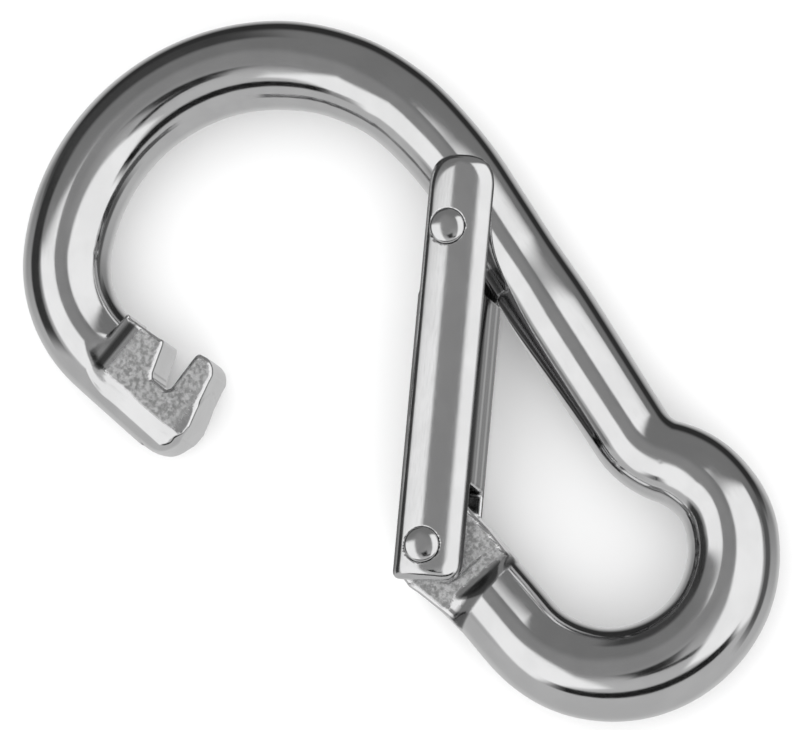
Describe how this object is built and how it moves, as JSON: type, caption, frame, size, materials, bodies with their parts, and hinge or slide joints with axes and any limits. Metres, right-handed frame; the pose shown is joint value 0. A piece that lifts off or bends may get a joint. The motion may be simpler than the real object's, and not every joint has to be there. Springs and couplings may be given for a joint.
{
  "type": "snap hook",
  "caption": "Asymmetric snap hook bent from round stainless bar: a small eye, a big bow, and a sprung gate whose fork latches on a notched claw.",
  "frame": {"origin": "centre of the small eye, at mid thickness", "axes": "+X from the small eye towards the big bow, +Y towards the side with the gate and the claw, +Z across the bar, along the rivets"},
  "size_m": [0.1, 0.0533, 0.0136],
  "materials": {
    "hook_steel": "polished stainless steel, with a finely cast, satin face on the claw and the tongue",
    "gate_steel": "polished stainless steel",
    "rivet_steel": "polished stainless steel, domed",
    "plunger_steel": "turned",
    "spring_wire": "drawn wire"
  },
  "bodies": {
    "hook": {"hook_body": "hook_steel"},
    "gate": {"gate": "gate_steel", "hinge_rivet": "rivet_steel", "latch_rivet": "rivet_steel", "gate_spring": "spring_wire"},
    "plunger": {"plunger": "plunger_steel"}
  },
  "joints": [
    {"name": "gate_hinge", "type": "hinge", "parent": "hook", "child": "gate", "pos_m": [0.0165, 0.0129, 0], "axis": [0, 0, 1], "range_deg": [0, 60.4], "stiffness_Nm_per_rad": 0.3, "springref_deg": 114.59},
    {"name": "plunger_slide", "type": "slide", "parent": "gate", "child": "plunger", "axis": [-0.5721, 0.8202, 0], "range_m": [0, 0.0019], "deforming": ["gate_spring"]}
  ],
  "couplings": [
    {"joint": "plunger_slide", "follows": "gate_hinge", "m_per_rad": 0.0018}
  ]
}
